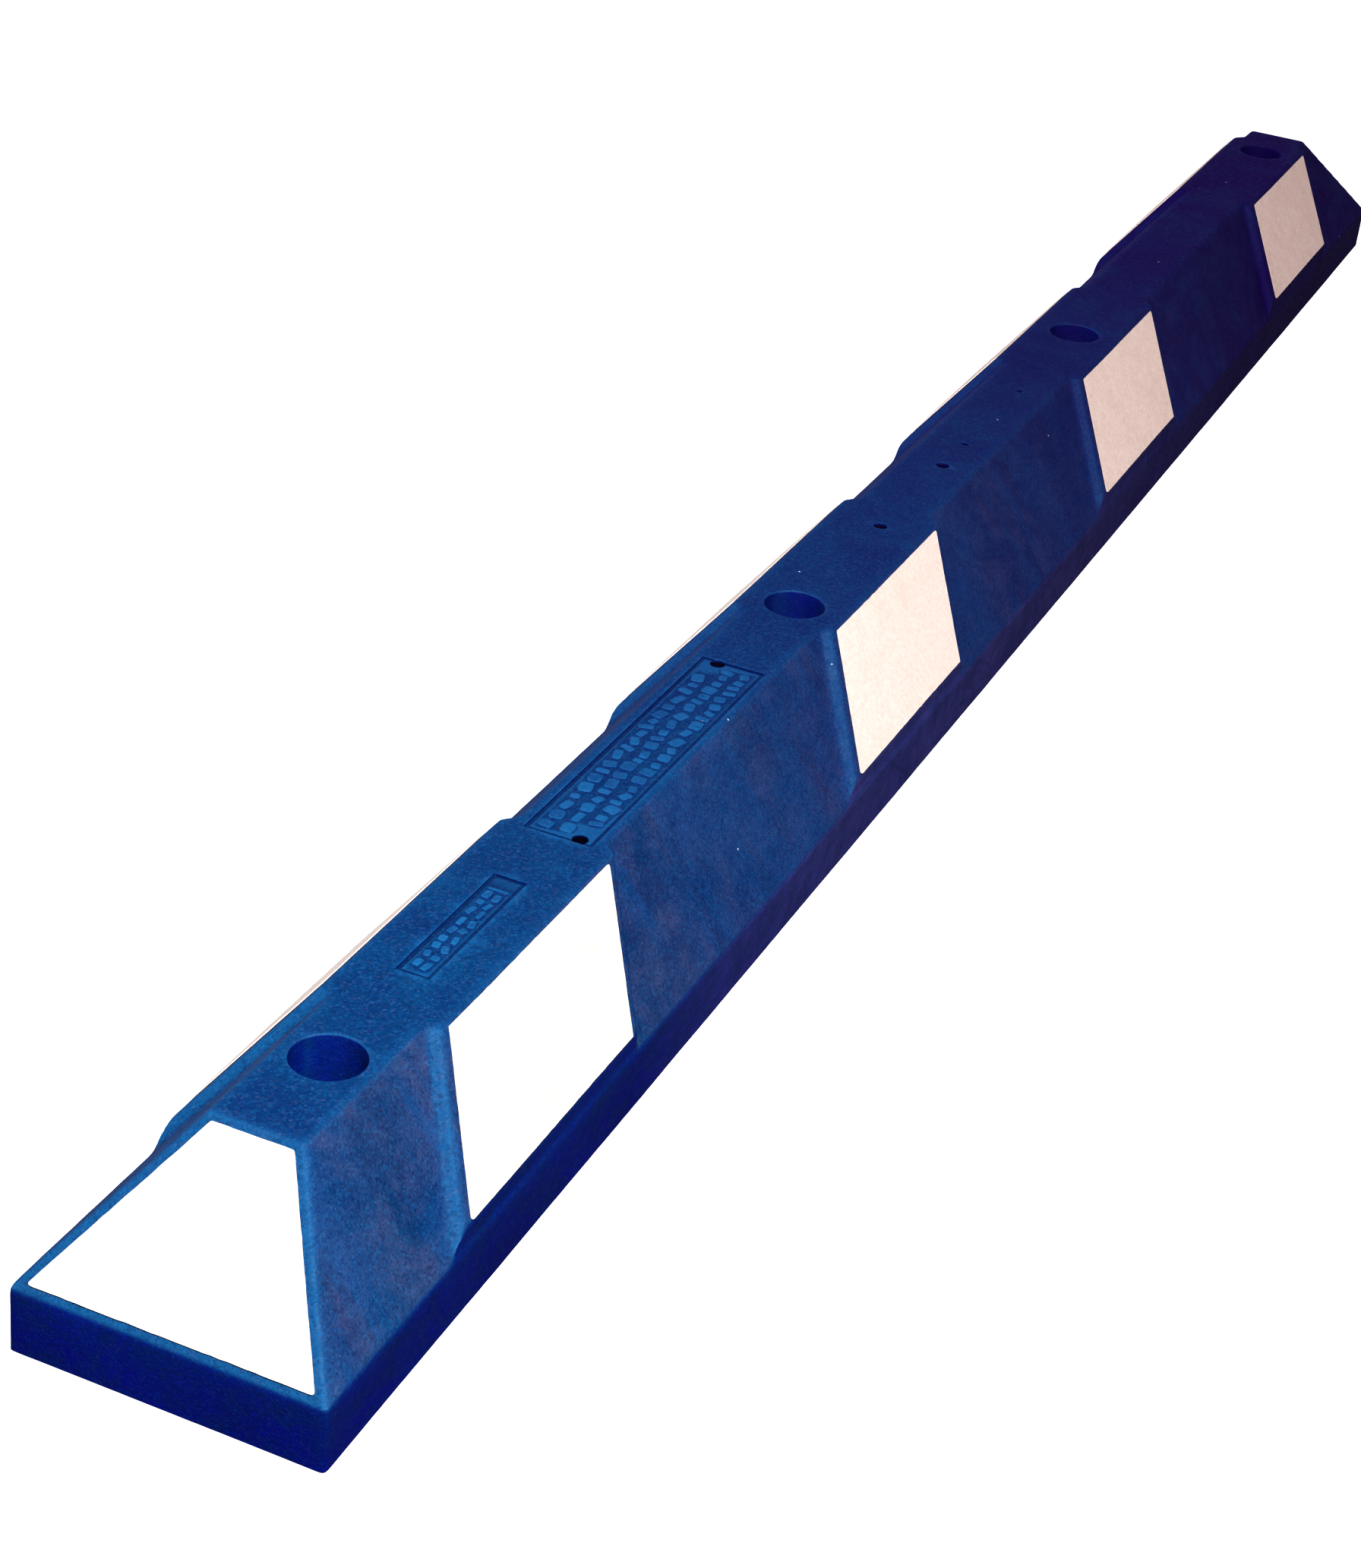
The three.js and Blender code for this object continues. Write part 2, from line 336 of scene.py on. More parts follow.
def anchor_cutter(x):
    floor = HEIGHT - COUNTERBORE_DEPTH
    profile = lip_profile(COUNTERBORE_RADIUS, LIP)
    profile += [
        (COUNTERBORE_RADIUS, floor + FLOOR_CHAMFER),
        (COUNTERBORE_RADIUS - FLOOR_CHAMFER, floor),
        (SHANK_RADIUS + SHANK_CHAMFER, floor),
        (SHANK_RADIUS, floor - SHANK_CHAMFER),
        (SHANK_RADIUS, -UNDER),
    ]
    return lathe(x, 0, profile, ANCHOR_SEGMENTS)


def small_cutter(x, y, radius):
    floor = HEIGHT - SMALL_HOLE_DEPTH
    profile = lip_profile(radius, SMALL_LIP)
    profile += [(radius * share, floor + up) for share, up in SMALL_HOLE_FLOOR]
    return lathe(x, y, profile, SMALL_SEGMENTS)


def hollow_cutter(x, length):
    roof = [
        (sx * length * HOLLOW_TAPER / 2, sy * HOLLOW_WIDTH * HOLLOW_TAPER / 2)
        for sx in (-1, 1) for sy in (-1, 1)
    ]
    grow = 1 + (1 - HOLLOW_TAPER) * UNDER / HOLLOW_DEPTH
    mouth = [(px / HOLLOW_TAPER * grow, py / HOLLOW_TAPER * grow) for px, py in roof]
    points = [(x + px, py, HOLLOW_DEPTH) for px, py in roof]
    points += [(x + px, py, -UNDER) for px, py in mouth]
    return hull(points)


def hollow_cutters():
    bay = ANCHOR_X[1] - ANCHOR_X[0] - 2 * BLOCK_HALF_LENGTH
    length = (bay - (HOLLOWS_PER_BAY - 1) * RIB) / HOLLOWS_PER_BAY
    made = []
    for anchor in ANCHOR_X[:-1]:
        for i in range(HOLLOWS_PER_BAY):
            start = anchor + BLOCK_HALF_LENGTH + i * (length + RIB)
            made.append(hollow_cutter(start + length / 2, length))
    return made


def box_solid(x, y, length, width, bottom, top):
    points = [
        (x + sx * length / 2, y + sy * width / 2, z)
        for sx in (-1, 1) for sy in (-1, 1) for z in (bottom, top)
    ]
    return hull(points)


def rounded(value):
    """A sine or cosine drawn out, so that an ellipse becomes a rectangle with rounded corners."""
    return math.copysign(abs(value) ** BLOCK_ROUNDNESS, value)


def block(x, y, length, width, angle, top):
    """A raised block with sloped sides and rounded corners."""
    c, s = math.cos(angle), math.sin(angle)
    points = []
    for base, (up, grow) in zip((BLOCK_FOOT, top, top), BLOCK_SECTION):
        for i in range(BLOCK_POINTS):
            a = 2 * math.pi * i / BLOCK_POINTS
            px = (length / 2 + grow) * rounded(math.cos(a))
            py = (width / 2 + grow) * rounded(math.sin(a))
            points.append((x + px * c - py * s, y + px * s + py * c, base + up))
    return hull(points)


def frame_box(spec, inset, bottom, top):
    """A box over a moulded frame, smaller than it by the inset all round."""
    x, y, length, width = spec
    return box_solid(x, y, length - 2 * inset, width - 2 * inset, bottom, top)


def frame_cutters(spec, standing):
    """What is taken out of the flat top for one moulded frame: a groove round it, and a sunk panel
    in which the blocks are left standing."""
    panel = solid("panel", frame_box(spec, FRAME_GROOVE / 2, HEIGHT - PANEL_DEPTH, HEIGHT + PANEL_OVERRUN))
    cut(panel, solid("blocks", joined(standing)))
    groove = solid("groove", frame_box(spec, 0, HEIGHT - FRAME_DEPTH, HEIGHT + GROOVE_OVERRUN))
    island = frame_box(spec, FRAME_GROOVE, HEIGHT - ISLAND_OVERRUN, HEIGHT + ISLAND_OVERRUN)
    cut(groove, solid("island", island))
    return groove, panel


def blocks(spec, rows, size, spread, stop=0):
    """Generic worn blocks of uneven size in rows, clear of the small holes. They end short of the
    frame's far end by stop."""
    x, y, length, width = spec
    made = []
    room = width - 2 * FRAME_GROOVE - 2 * ROW_MARGIN
    row_width = room / rows
    for row in range(rows):
        dy = (row + 0.5) * row_width - room / 2
        px = x - length / 2 + FRAME_GROOVE + BLOCK_MARGIN + rng.uniform(0, BLOCK_MARGIN)
        while px < x + length / 2 - FRAME_GROOVE - size - stop:
            long = size + rng.uniform(-spread, spread)
            wide = row_width * rng.uniform(*BLOCK_WIDTHS)
            turn = math.radians(rng.uniform(-BLOCK_TURN, BLOCK_TURN))
            at, off = px + long / 2, dy + row_width * rng.uniform(-BLOCK_SHIFT, BLOCK_SHIFT)
            if all(math.hypot(at - hx, y + off - hy) > hr + HOLE_CLEARANCE for hx, hy, hr in SMALL_HOLES):
                top = HEIGHT - rng.uniform(*BLOCK_WEAR)
                made.append(block(at, y + off, long, wide, turn, top))
            px += long + rng.uniform(*BLOCK_GAPS)
    return made


def large_blocks():
    return blocks(LARGE_FRAME, rows=3, size=7.0, spread=3.0)


def small_blocks():
    """Two rows of blocks, and a bar across the frame that closes off an end cell."""
    x, y, length, width = SMALL_FRAME
    across = width - 7
    bar = block(x + length / 2 - CELL_BAR, y, across, CELL_BAR_WIDTH, math.pi / 2, HEIGHT - CELL_BAR_WEAR)
    return blocks(SMALL_FRAME, rows=2, size=5.5, spread=1.8, stop=10) + [bar]


# ---------- noise on points ----------

# Odd multipliers that scramble a lattice point's whole numbers
HASH_X, HASH_Y, HASH_Z = 73856093, 19349663, 83492791
HASH_SEED = 2654435761
HASH_MIX = 1274126177
HALF_RANGE = 32767.5  # of the 16 bits kept


def lattice_noise(points, size, seed):
    """Smooth random values from -1 to 1 at points in millimetres, with features of that size."""
    p = points / size
    base = np.floor(p).astype(np.int64)
    t = p - base
    t = t * t * (3 - 2 * t)
    total = np.zeros(len(p))
    for dx in (0, 1):
        for dy in (0, 1):
            for dz in (0, 1):
                key = (base[:, 0] + dx) * HASH_X ^ (base[:, 1] + dy) * HASH_Y
                key = key ^ (base[:, 2] + dz) * HASH_Z ^ seed * HASH_SEED
                key = (key ^ (key >> 13)) * HASH_MIX & 0xFFFFFFFF
                key = (key ^ (key >> 16)) & 0xFFFF
                weight = np.abs(1 - dx - t[:, 0]) * np.abs(1 - dy - t[:, 1]) * np.abs(1 - dz - t[:, 2])
                total += weight * (key / HALF_RANGE - 1)
    return total


def share_noise(points, size, seed):
    """The same from 0 to 1."""
    return 0.5 + 0.5 * lattice_noise(points, size, seed)


def at_level(spots, level):
    """Flat points in millimetres, set at a height of their own, so that each sheet's noise differs."""
    return np.concatenate([spots, np.full((len(spots), 1), level)], 1)


def coordinates(mesh):
    """A mesh's points in millimetres."""
    co = np.empty(len(mesh.vertices) * 3, np.float32)
    mesh.vertices.foreach_get("co", co)
    return co.reshape(-1, 3).astype(float) / MM


def normals(mesh):
    co = np.empty(len(mesh.vertices) * 3, np.float32)
    mesh.vertices.foreach_get("normal", co)
    return co.reshape(-1, 3).astype(float)


def set_coordinates(mesh, points):
    """Moves a mesh's points to these, in millimetres."""
    mesh.vertices.foreach_set("co", (points * MM).astype(np.float32).ravel())
    mesh.update()


def smooth_shading(mesh, angle):
    mesh.shade_smooth()
    mesh.set_sharp_from_angle(angle=math.radians(angle))


# ---------- the rubber body ----------

def moulded_bar():
    """The bar and its pads as one skin, with rounded edges and a slightly uneven surface."""
    parts = [bar_hull()] + [pad_hull(side, x) for side in (-1, 1) for x in PAD_X]
    body = solid("rubber_bar", joined(parts))
    remesh = body.modifiers.new("remesh", "REMESH")
    remesh.mode = "VOXEL"
    remesh.voxel_size = VOXEL * MM * 1
    remesh.adaptivity = 0
    applied(body)
    smooth = body.modifiers.new("smooth", "SMOOTH")
    smooth.factor = 0.5
    smooth.iterations = SMOOTHING_PASSES
    applied(body)
    mesh = body.data
    points, out = coordinates(mesh), normals(mesh)
    swell = share_noise(points, SWELL_SIZE, 1)
    grain = share_noise(points, GRAIN_SIZE, 2)
    points -= out * (SWELL_DEPTH * swell + GRAIN_DEPTH * grain)[:, None]
    set_coordinates(mesh, points)
    thin = body.modifiers.new("thin", "DECIMATE")
    thin.ratio = KEPT_SHARE
    return applied(body)


def rubber_body():
    """The moulded bar, cut flat at the ground, with its hollows, holes and frames."""
    body = moulded_bar()
    cut(body, solid("ground", box_solid(0, 0, LENGTH + 40, WIDTH + 40, -UNDER - 10, 0)))
    for shape in hollow_cutters() + [anchor_cutter(x) for x in ANCHOR_X]:
        cut(body, solid("hollow", shape))
    for spec, standing in ((LARGE_FRAME, large_blocks()), (SMALL_FRAME, small_blocks())):
        for cutter in frame_cutters(spec, standing):
            cut(body, cutter)
    for hole in SMALL_HOLES:
        cut(body, solid("hole", small_cutter(*hole)))
    smooth_shading(body.data, BODY_SHARP)
    return body


# ---------- the reflective sheets ----------

def outer_face(node):
    """The big face of a CAD sheet that looks out of the bar: its corners in order, in millimetres
    across and up from its middle, then that middle, the two directions and its normal."""
    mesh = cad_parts[node].data
    points = np.array([v.co for v in mesh.vertices], float)
    # The largest face that looks up; of two equal ones, the last
    best, best_area = None, 0
    for polygon in mesh.polygons:
        n = np.array(polygon.normal)
        if polygon.area > best_area * 0.999 and n[2] > 0.1:
            best, best_area = n, polygon.area
    reach = points @ best
    face = np.unique(points[reach > reach.max() - 1e-5].round(7), axis=0)
    middle = face.mean(0)
    # Across runs along the bar, or across it on an end sheet
    across = np.array((1.0, 0, 0)) - best * best[0]
    if np.linalg.norm(across) < 0.8:
        across = np.array((0, 1.0, 0)) - best * best[1]
    across /= np.linalg.norm(across)
    up = np.cross(best, across)
    flat = np.stack([(face - middle) @ across, (face - middle) @ up], 1)
    order = np.argsort(np.arctan2(flat[:, 1], flat[:, 0]))
    return flat[order] / MM, middle, across, up, best


def half_angle(a, b):
    """Half the angle between two directions of length 1."""
    return math.acos(max(-1, min(1, float(a @ b)))) / 2


def rounded_outline(corners, seed):
    """A sheet's outline with rounded corners and slightly uneven edges, in millimetres."""
    points = []
    n = len(corners)
    for i in range(n):
        before, at, after = corners[i - 1], corners[i], corners[(i + 1) % n]
        a = (before - at) / np.linalg.norm(before - at)
        b = (after - at) / np.linalg.norm(after - at)
        reach = FILM_CORNER / math.tan(half_angle(a, b))
        start, stop = at + a * reach, at + b * reach
        for k in range(CORNER_STEPS + 1):
            t = k / CORNER_STEPS
            points.append(start * (1 - t) ** 2 + at * 2 * t * (1 - t) + stop * t * t)
        following = corners[(i + 2) % n]
        c = (following - after) / np.linalg.norm(following - after)
        edge_end = after - b * FILM_CORNER / math.tan(half_angle(-b, c))
        count = int(np.linalg.norm(edge_end - stop) // EDGE_STEP)
        for k in range(1, count):
            points.append(stop + (edge_end - stop) * k / count)
    points = np.array(points)
    spread = at_level(points, seed * 31.7)
    inward = -points / np.linalg.norm(points, axis=1)[:, None]
    short, long = lattice_noise(spread, 4.0, seed), lattice_noise(spread, 19.0, seed + 5)
    amount = RAGGED * (0.5 + 0.35 * short + 0.15 * long)
    return points + inward * amount[:, None]


def grid_inside(outline):
    """Slightly scattered grid points inside an outline."""
    low, high = outline.min(0), outline.max(0)
    shrunk = outline * GRID_SHARE
    made = []
    for px in np.arange(low[0] + GRID_STEP, high[0], GRID_STEP):
        for py in np.arange(low[1] + GRID_STEP, high[1], GRID_STEP):
            if inside(shrunk, px, py):
                dx, dy = rng.uniform(-GRID_JITTER, GRID_JITTER), rng.uniform(-GRID_JITTER, GRID_JITTER)
                made.append((px + dx, py + dy))
    return made


def slab_faces(faces, points, out):
    """The faces of a slab from those of its top: the same turned outwards, the same below, and a
    wall all round. The lower points follow the upper ones in the same order."""
    a, b, c = (Vector(points[i]) for i in faces[0][:3])
    if (b - a).cross(c - a).dot(Vector(out)) < 0:
        faces = [tuple(reversed(f)) for f in faces]
    used = dict.fromkeys((i, j) for f in faces for i, j in zip(f, f[1:] + f[:1]))
    rim = [(i, j) for i, j in used if (j, i) not in used]
    total = len(points)
    under = [tuple(i + total for i in reversed(f)) for f in faces]
    walls = [(j, i, i + total, j + total) for i, j in rim]
    return faces + under + walls


def sheet_piece(node, seed):
    """A sheet of film with rounded corners, uneven cut edges and a faint waviness."""
    corners, middle, across, up, out = outer_face(node)
    outline = rounded_outline(corners, seed)
    count = len(outline)
    flat = [Vector(p) for p in outline] + [Vector(p) for p in grid_inside(outline)]
    edges = [(i, (i + 1) % count) for i in range(count)]
    made = delaunay_2d_cdt(flat, edges, [], 1, 1e-6)
    spots = np.array([(p.x, p.y) for p in made[0]])
    spread = at_level(spots, seed * 17.3)
    wave = WAVE_DEPTH * share_noise(spread, WAVE_SIZE, seed)
    sink = FILM_DROP + wave + DIMPLE_DEPTH * share_noise(spread, DIMPLE_SIZE, seed)
    top, bottom = [], []
    for (px, py), s in zip(spots, sink):
        at = middle + across * px * MM + up * py * MM - out * s * MM
        top.append(at)
        bottom.append(at - out * FILM_THICKNESS * MM)
    faces = slab_faces([tuple(f) for f in made[2]], top, out)
    mesh = bpy.data.meshes.new(node + "_film")
    mesh.from_pydata([tuple(p) for p in top + bottom], [], faces)
    mesh.update()
    smooth_shading(mesh, PIECE_SHARP)
    return new_object(node + "_film", mesh)


def inside(outline, x, y):
    """Whether a point lies inside a closed outline."""
    hit = False
    n = len(outline)
    for i in range(n):
        (x1, y1), (x2, y2) = outline[i - 1], outline[i]
        if (y1 > y) != (y2 > y) and x < (x2 - x1) * (y - y1) / (y2 - y1) + x1:
            hit = not hit
    return hit


# ---------- the anchor washers ----------

def washer_piece(node):
    """A stamped washer: its upper edges are rolled over and its lower ones are nearly sharp."""
    low, high = (np.array(corner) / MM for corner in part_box(node))
    middle = (low + high) / 2
    outer, inner, bottom, top = (high[0] - low[0]) / 2, WASHER_BORE / 2, low[2], high[2]
    corners = (
        (outer - SHARP_EDGE, bottom + SHARP_EDGE, SHARP_EDGE),
        (outer - ROLLED_EDGE, top - ROLLED_EDGE, ROLLED_EDGE),
        (inner + ROLLED_EDGE, top - ROLLED_EDGE, ROLLED_EDGE),
        (inner + SHARP_EDGE, bottom + SHARP_EDGE, SHARP_EDGE),
    )
    section = []
    for quarter, (r, z, size) in enumerate(corners):
        for k in range(EDGE_STEPS + 1):
            a = math.pi / 2 * (quarter - 1 + k / EDGE_STEPS)
            section.append((r + size * math.cos(a), z + size * math.sin(a)))
    count = len(section)
    verts, faces = [], []
    for i in range(WASHER_SEGMENTS):
        a = 2 * math.pi * i / WASHER_SEGMENTS
        verts += [(middle[0] + r * math.cos(a), middle[1] + r * math.sin(a), z) for r, z in section]
        j = (i + 1) % WASHER_SEGMENTS
        for k in range(count):
            m = (k + 1) % count
            faces.append((i * count + k, j * count + k, j * count + m, i * count + m))
    mesh = mesh_from(node + "_stamped", verts, faces)
    smooth_shading(mesh, PIECE_SHARP)
    return new_object(node + "_stamped", mesh)


# ---------- materials ----------

class Nodes:
    """A material's node tree, with short calls for what is used here."""

    def __init__(self, name):
        self.material = bpy.data.materials.new(name)
        self.material.use_nodes = True
        self.tree = self.material.node_tree
        self.shader = self.tree.nodes["Principled BSDF"]

    def add(self, kind, **values):
        node = self.tree.nodes.new(kind)
        for key, value in values.items():
            setattr(node, key, value)
        return node

    def link(self, source, target):
        self.tree.links.new(source, target)

    def place(self, scale=(1, 1, 1)):
        """Object coordinates in metres, stretched."""
        source = self.add("ShaderNodeTexCoord").outputs["Object"]
        if scale == (1, 1, 1):
            return source
        mapping = self.add("ShaderNodeMapping")
        mapping.inputs["Scale"].default_value = scale
        self.link(source, mapping.inputs["Vector"])
        return mapping.outputs["Vector"]

    def noise(self, scale, detail=3, roughness=0.55, distortion=0.0, stretch=(1, 1, 1)):
        node = self.add("ShaderNodeTexNoise")
        node.inputs["Scale"].default_value = scale
        node.inputs["Detail"].default_value = detail
        node.inputs["Roughness"].default_value = roughness
        node.inputs["Distortion"].default_value = distortion
        self.link(self.place(stretch), node.inputs["Vector"])
        return node.outputs["Fac"]

    def crumbs(self, scale):
        node = self.add("ShaderNodeTexVoronoi", feature="F1")
        node.inputs["Scale"].default_value = scale
        self.link(self.place(), node.inputs["Vector"])
        return node

    def ramp(self, source, stops):
        """Grey or coloured stops at places from 0 to 1."""
        node = self.add("ShaderNodeValToRGB")
        elements = node.color_ramp.elements
        while len(elements) < len(stops):
            elements.new(0.5)
        for element, (position, color) in zip(elements, stops):
            element.position = position
            if not isinstance(color, tuple):
                color = (color, color, color)
            element.color = (*color, 1)
        self.link(source, node.inputs["Fac"])
        return node.outputs["Color"]

    def mix(self, factor, a, b, blend="MIX"):
        """Colour a, or b where the factor is 1; each of the three is a value or a socket."""
        node = self.add("ShaderNodeMix", data_type="RGBA", blend_type=blend)
        for socket, value in ((node.inputs[0], factor), (node.inputs[6], a), (node.inputs[7], b)):
            if isinstance(value, bpy.types.NodeSocket):
                self.link(value, socket)
            elif isinstance(value, tuple):
                socket.default_value = (*value, 1)
            else:
                socket.default_value = value
        return node.outputs[2]

    def math(self, operation, a, b=None, c=None):
        node = self.add("ShaderNodeMath", operation=operation)
        for socket, value in zip(node.inputs, (a, b, c)):
            if isinstance(value, bpy.types.NodeSocket):
                self.link(value, socket)
            elif value is not None:
                socket.default_value = value
        return node.outputs[0]

    def bump(self, height, strength, distance, before=None):
        node = self.add("ShaderNodeBump")
        node.inputs["Strength"].default_value = strength
        node.inputs["Distance"].default_value = distance
        self.link(height, node.inputs["Height"])
        if before is not None:
            self.link(before, node.inputs["Normal"])
        return node.outputs["Normal"]

    def split(self, color):
        """The three parts of a colour."""
        node = self.add("ShaderNodeSeparateColor")
        self.link(color, node.inputs[0])
        return node.outputs

    def window(self, place, spec, grow):
        """1 inside an upright rectangle given in millimetres, made larger by grow on each side, else 0."""
        x, y, length, width = spec
        shares = []
        for axis, middle, size in ((place[0], x, length), (place[1], y, width)):
            away = self.math("ABSOLUTE", self.math("SUBTRACT", axis, middle * MM))
            shares.append(self.math("LESS_THAN", away, (size / 2 + grow) * MM))
        return self.math("MULTIPLY", *shares)

    def parts(self, vector):
        """The x, y and z of a vector."""
        node = self.add("ShaderNodeSeparateXYZ")
        self.link(vector, node.inputs[0])
        return node.outputs


def srgb(r, g, b):
    """A colour read as 0 to 255 display values, as the linear one that nodes take."""
    def one(value):
        v = value / 255
        return v / 12.92 if v <= 0.04045 else ((v + 0.055) / 1.055) ** 2.4
    return one(r), one(g), one(b)


BLUE = srgb(2, 71, 112)
DEEP = srgb(2, 50, 96)
SIDE_SHADED = srgb(0, 25, 150)
SIDE_TOP_LIT = srgb(4, 50, 132)
SIDE_DARK = srgb(0, 13, 124)
SCUFF = srgb(114, 122, 184)
VIOLET = srgb(78, 86, 122)
PLUM_PAINTED_SHADE = srgb(27, 0, 76)
PALE = srgb(34, 112, 160)
DARK = srgb(4, 26, 70)
WHITE_CRUMB = srgb(170, 178, 190)
STREAK = srgb(14, 84, 138)
HOLE_PAINTED_SHADE = srgb(5, 5, 26)
GROOVE_DARK = srgb(4, 30, 70)
FAR_SHADE_SHARE = 0.96
FILM = srgb(223, 220, 213)
FILM_WORN = srgb(212, 205, 197)
FILM_SMUDGE = srgb(200, 192, 176)
FILM_GRIT = srgb(180, 170, 152)
FILM_FAR_SHADE = srgb(238, 219, 218)
FILM_MOTTLE = srgb(232, 212, 208)
ZINC = srgb(206, 209, 212)
ZINC_DULL = srgb(168, 171, 174)
RUST = srgb(128, 98, 72)


def side_tones(n, place, along):
    """The upright sides: a darker, more saturated blue, which is painted shade, lighter towards their
    upper edge as painted light from above, and scuffed in patches on the bar's two long sides."""
    color = n.mix(n.ramp(n.noise(14, 4, 0.6, 0.5), [(0.3, 0.0), (0.75, 1.0)]), SIDE_SHADED, SIDE_DARK)
    # Painted light: the upright sides lighter towards their upper edge and darker towards the ground
    upper_painted_light = n.ramp(n.math("MULTIPLY", place[2], 1 / (SKIRT_HEIGHT * MM)), [(0.35, 0.0), (1.0, 0.6)])
    color = n.mix(upper_painted_light, color, SIDE_TOP_LIT)
    scuffed = n.ramp(along, [(0.19, 0.0), (0.34, 1.0), (0.6, 0.7), (0.85, 0.1)])
    patchy = n.ramp(n.noise(7, 5, 0.6, 0.6, (0.6, 1, 1)), [(0.3, 0.5), (0.62, 1.0)])
    outside = n.math("GREATER_THAN", n.math("ABSOLUTE", place[1]), (HALF_WIDTH - 5) * MM)
    scuffed = n.math("MULTIPLY", n.math("MULTIPLY", scuffed, patchy), outside)
    return n.mix(n.math("MULTIPLY", scuffed, 0.75), color, SCUFF)


def slope_tones(n, color, normal, facing_up):
    """Violet crumbs gather in clouds on the long slopes, with streaks over them. Darker clouds and
    bands lie everywhere."""
    on_slope = n.ramp(n.math("ABSOLUTE", normal[1]), [(0.45, 0.0), (0.7, 1.0), (0.86, 1.0), (0.95, 0.0)])
    cloudy = n.ramp(n.noise(24, 8, 0.75, 0.9), [(0.38, 0.12), (0.62, 1.0)])
    violet = n.math("MULTIPLY", n.math("MULTIPLY", on_slope, cloudy), facing_up)
    color = n.mix(n.math("MULTIPLY", violet, 0.68), color, VIOLET)
    clouds = n.ramp(n.noise(55, 4, 0.6, 0.6), [(0.36, 0.0), (0.66, 0.42)])
    color = n.mix(clouds, color, DEEP)
    streaks = n.ramp(n.noise(26, 3, 0.55, 1.2, (1, 0.22, 0.22)), [(0.42, 0.0), (0.6, 0.42)])
    color = n.mix(n.math("MULTIPLY", streaks, on_slope), color, STREAK)
    bands = n.ramp(n.noise(5.5, 4, 0.6, 3.2, (1, 2.4, 2.4)), [(0.44, 0.0), (0.5, 1.0), (0.56, 0.0)])
    return n.mix(n.math("MULTIPLY", bands, 0.28), color, DEEP)


def crumb_tones(n, color, crumb, facing_up):
    """Single crumbs of rubber, plainer on the sides."""
    tone = n.split(crumb.outputs["Color"])
    small = n.split(n.crumbs(1700).outputs["Color"])
    plain = n.ramp(facing_up, [(0.0, 0.35), (1.0, 1.0)])
    for source, first, last, amount, tint in (
        (tone[0], 0.6, 0.95, 0.22, PALE),
        (tone[1], 0.62, 0.95, 0.34, DARK),
        (tone[2], 0.8, 1.0, 0.24, VIOLET),
        (small[0], 0.5, 1.0, 0.24, DARK),
    ):
        shown = n.ramp(source, [(first, 0.0), (last, amount)])
        color = n.mix(n.math("MULTIPLY", shown, plain), color, tint)
    return color


def frame_tones(n, color, place):
    """The moulded frames are darker low down, most in their grooves, and in the small frame's end cell;
    the blocks that stand in them are worn paler.
    """
    level = n.math("MULTIPLY_ADD", place[2], 1 / MM, 1 - HEIGHT)
    sunk_dark = n.ramp(level, [(0.05, 0.48), (0.3, 0.12), (0.55, 0.0)])
    worn = n.ramp(level, [(0.5, 0.0), (0.85, 0.22)])
    for spec in (LARGE_FRAME, SMALL_FRAME):
        color = n.mix(n.math("MULTIPLY", n.window(place, spec, 0.5), sunk_dark), color, GROOVE_DARK)
        color = n.mix(n.math("MULTIPLY", n.window(place, spec, -FRAME_GROOVE), worn), color, PALE)
    x, y, length, width = SMALL_FRAME
    cell = (x + length / 2 - 7, y, 9, width - 2 * FRAME_GROOVE)
    return n.mix(n.math("MULTIPLY", n.window(place, cell, 0), 0.4), color, GROOVE_DARK)


def hole_painted_shade(n, color, place):
    """The insides of the small holes are painted dark: painted shade."""
    deep = n.math("LESS_THAN", place[2], (HEIGHT - 1.6) * MM)
    x, y, length, width = LARGE_FRAME
    for spec in ((x, y, length + 16, width - 6), (0, SMALL_HOLES[-1][1], 290, 12)):
        color = n.mix(n.math("MULTIPLY", n.window(place, spec, 0), deep), color, HOLE_PAINTED_SHADE)
    return color


def far_painted_shade(n, color, along):
    """The far half is painted darker and more purple: painted shade, where the light falls off towards the
    far end.
    """
    drift = n.ramp(n.noise(9, 6, 0.65, 2.6), [(0.38, 0.84), (0.58, 1.0)])
    purple = n.math("MULTIPLY", n.ramp(along, [(0.15, 0.0), (0.45, 0.5), (0.8, 1.0)]), drift)
    return n.mix(n.math("MULTIPLY", purple, FAR_SHADE_SHARE), color, PLUM_PAINTED_SHADE)


def white_crumbs(n, color):
    """Here and there a white crumb shows."""
    speck = n.crumbs(95)
    near = n.ramp(speck.outputs["Distance"], [(0.0, 1.0), (0.05, 1.0), (0.075, 0.0)])
    rare = n.ramp(n.split(speck.outputs["Color"])[0], [(0.955, 0.0), (0.958, 1.0)])
    return n.mix(n.math("MULTIPLY", near, rare), color, WHITE_CRUMB)


